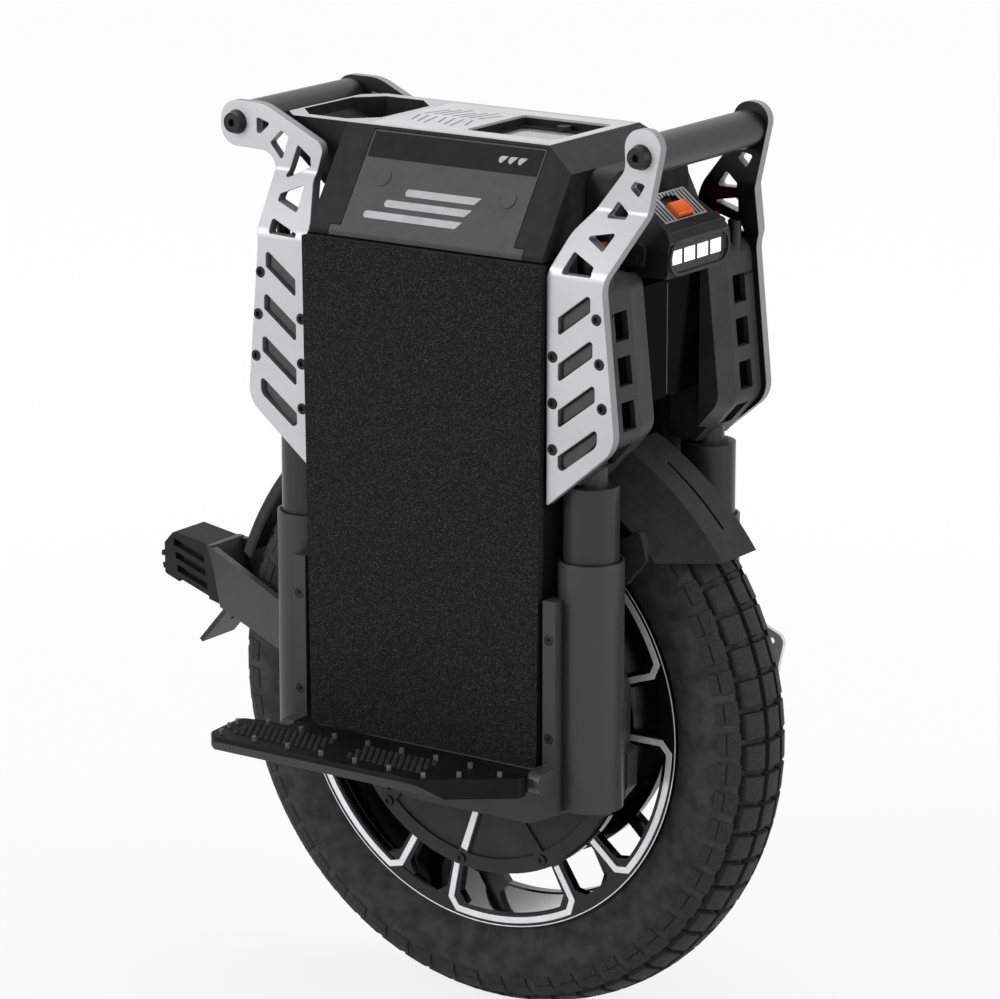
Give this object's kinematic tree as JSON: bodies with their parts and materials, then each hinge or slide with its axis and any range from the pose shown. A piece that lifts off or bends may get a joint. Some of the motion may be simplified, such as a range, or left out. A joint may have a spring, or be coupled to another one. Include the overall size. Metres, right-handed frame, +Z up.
{
  "type": "electric unicycle",
  "caption": "Electric unicycle with a sprung body on fork legs, folding studded pedals, side pads, slotted side plates with grab bars, a tilting headlamp and a tail prop.",
  "frame": {"origin": "on the ground, in the middle of the bounding box", "axes": "+X forward (headlamp end), +Y to the rider's left, +Z up"},
  "size_m": [0.5996, 0.41, 0.7549],
  "materials": {
    "tyre": "matte rubber with block tread",
    "rim": "gloss black paint with bright machined lines",
    "motor": "satin black cast covers",
    "motor_core": "plain laminated steel",
    "steel": "plain steel",
    "black_steel": "blackened fasteners",
    "carrier_metal": "satin black anodised",
    "fork_tube": "smooth dark anodised",
    "seal": "matte seal rubber",
    "guard": "fine grained dark plastic",
    "tail_bracket": "satin dark paint",
    "tail_grey": "dark block with slots",
    "eye_grey": "satin light grey",
    "case": "fine grained black plastic",
    "hatch": "satin dark grey plastic",
    "pad": "speckled grip surface",
    "frame": "satin black paint",
    "bracket": "satin black",
    "plate": "satin silver with dark bevelled edges",
    "bar": "satin black tube",
    "deck": "light grey inlay",
    "screen": "dark display glass",
    "board": "circuit board",
    "battery": "wrapped cells",
    "gloss_panel": "gloss black",
    "tail_lens": "red lens",
    "lamp": "fine grained black plastic",
    "lamp_lens": "clear lens",
    "led": "white light module",
    "orange_key": "orange key",
    "red_lever": "red anodised",
    "pedal": "satin black with knurled zones"
  },
  "bodies": {
    "carrier": {"axle": "steel", "motor_stator": "motor_core", "axle_bridges": "carrier_metal", "fork_sleeves": "carrier_metal", "wiper_seals": "seal", "damper_rods": "steel", "pedal_hangers": "carrier_metal", "carrier_screws": "black_steel", "front_mudguard": "guard", "rear_mudguard": "guard", "tail_frame": "tail_bracket", "tail_block": "tail_grey", "eye_plate": "eye_grey"},
    "wheel": {"tyre": "tyre", "rim": "rim", "valve_stem": "black_steel", "rotor_ring": "motor_core", "motor_covers": "motor", "cover_bolts": "black_steel", "wheel_bearings": "steel"},
    "chassis": {"frame_beams": "frame", "side_case_left": "case", "side_case_right": "case", "side_pad_left": "pad", "side_pad_right": "pad", "hatch_left": "hatch", "hatch_right": "hatch", "inner_covers": "case", "battery_packs": "battery", "top_case": "case", "deck_panel": "deck", "display_screen": "screen", "controller_board": "board", "fork_brackets": "bracket", "fork_tubes": "fork_tube", "fork_caps": "black_steel", "front_plates": "plate", "rear_plates": "plate", "plate_screws": "black_steel", "front_bar": "bar", "rear_bar": "bar", "bar_bolts": "black_steel", "front_panel": "gloss_panel", "rear_panel": "gloss_panel", "tail_light": "tail_lens", "charge_port": "black_steel", "lamp_nose": "case"},
    "headlamp": {"lamp_body": "lamp", "lamp_lens": "lamp_lens", "lamp_leds": "led"},
    "lamp_key": {"lamp_button": "orange_key"},
    "power_key": {"power_button": "bracket"},
    "lever_front_left": {"damping_lever_front_left": "red_lever"},
    "lever_front_right": {"damping_lever_front_right": "red_lever"},
    "lever_rear_left": {"damping_lever_rear_left": "red_lever"},
    "lever_rear_right": {"damping_lever_rear_right": "red_lever"},
    "left_pedal": {"pedal_left": "pedal", "pedal_studs_left": "black_steel"},
    "right_pedal": {"pedal_right": "pedal", "pedal_studs_right": "black_steel"}
  },
  "joints": [
    {"name": "wheel_spin", "type": "hinge", "parent": "carrier", "child": "wheel", "pos_m": [0.045, 0, 0.255], "axis": [0, 1, 0], "continuous": true},
    {"name": "suspension", "type": "slide", "parent": "carrier", "child": "chassis", "axis": [0, 0, -1], "range_m": [0, 0.044], "stiffness_N_per_m": 15000, "springref_m": -0.03},
    {"name": "left_pedal_fold", "type": "hinge", "parent": "carrier", "child": "left_pedal", "pos_m": [0.045, 0.135, 0.242], "axis": [1, 0, 0], "range_deg": [0, 85]},
    {"name": "right_pedal_fold", "type": "hinge", "parent": "carrier", "child": "right_pedal", "pos_m": [0.045, -0.135, 0.242], "axis": [-1, 0, 0], "range_deg": [0, 85]},
    {"name": "lamp_tilt", "type": "hinge", "parent": "chassis", "child": "headlamp", "pos_m": [0.196, 0, 0.6475], "axis": [0, 1, 0], "range_deg": [-8, 8]},
    {"name": "lamp_key_press", "type": "slide", "parent": "headlamp", "child": "lamp_key", "axis": [-0.6157, 0, -0.788], "range_m": [0, 0.002], "stiffness_N_per_m": 400, "springref_m": -0.002},
    {"name": "power_key_press", "type": "slide", "parent": "chassis", "child": "power_key", "axis": [0, 0, -1], "range_m": [0, 0.0015], "stiffness_N_per_m": 400, "springref_m": -0.002},
    {"name": "lever_front_left_turn", "type": "hinge", "parent": "chassis", "child": "lever_front_left", "pos_m": [0.1815, 0.0855, 0.659], "axis": [0, 0, 1], "range_deg": [-45, 45]},
    {"name": "lever_front_right_turn", "type": "hinge", "parent": "chassis", "child": "lever_front_right", "pos_m": [0.1815, -0.0855, 0.659], "axis": [0, 0, 1], "range_deg": [-45, 45]},
    {"name": "lever_rear_left_turn", "type": "hinge", "parent": "chassis", "child": "lever_rear_left", "pos_m": [-0.0915, 0.0855, 0.659], "axis": [0, 0, 1], "range_deg": [-45, 45]},
    {"name": "lever_rear_right_turn", "type": "hinge", "parent": "chassis", "child": "lever_rear_right", "pos_m": [-0.0915, -0.0855, 0.659], "axis": [0, 0, 1], "range_deg": [-45, 45]}
  ]
}
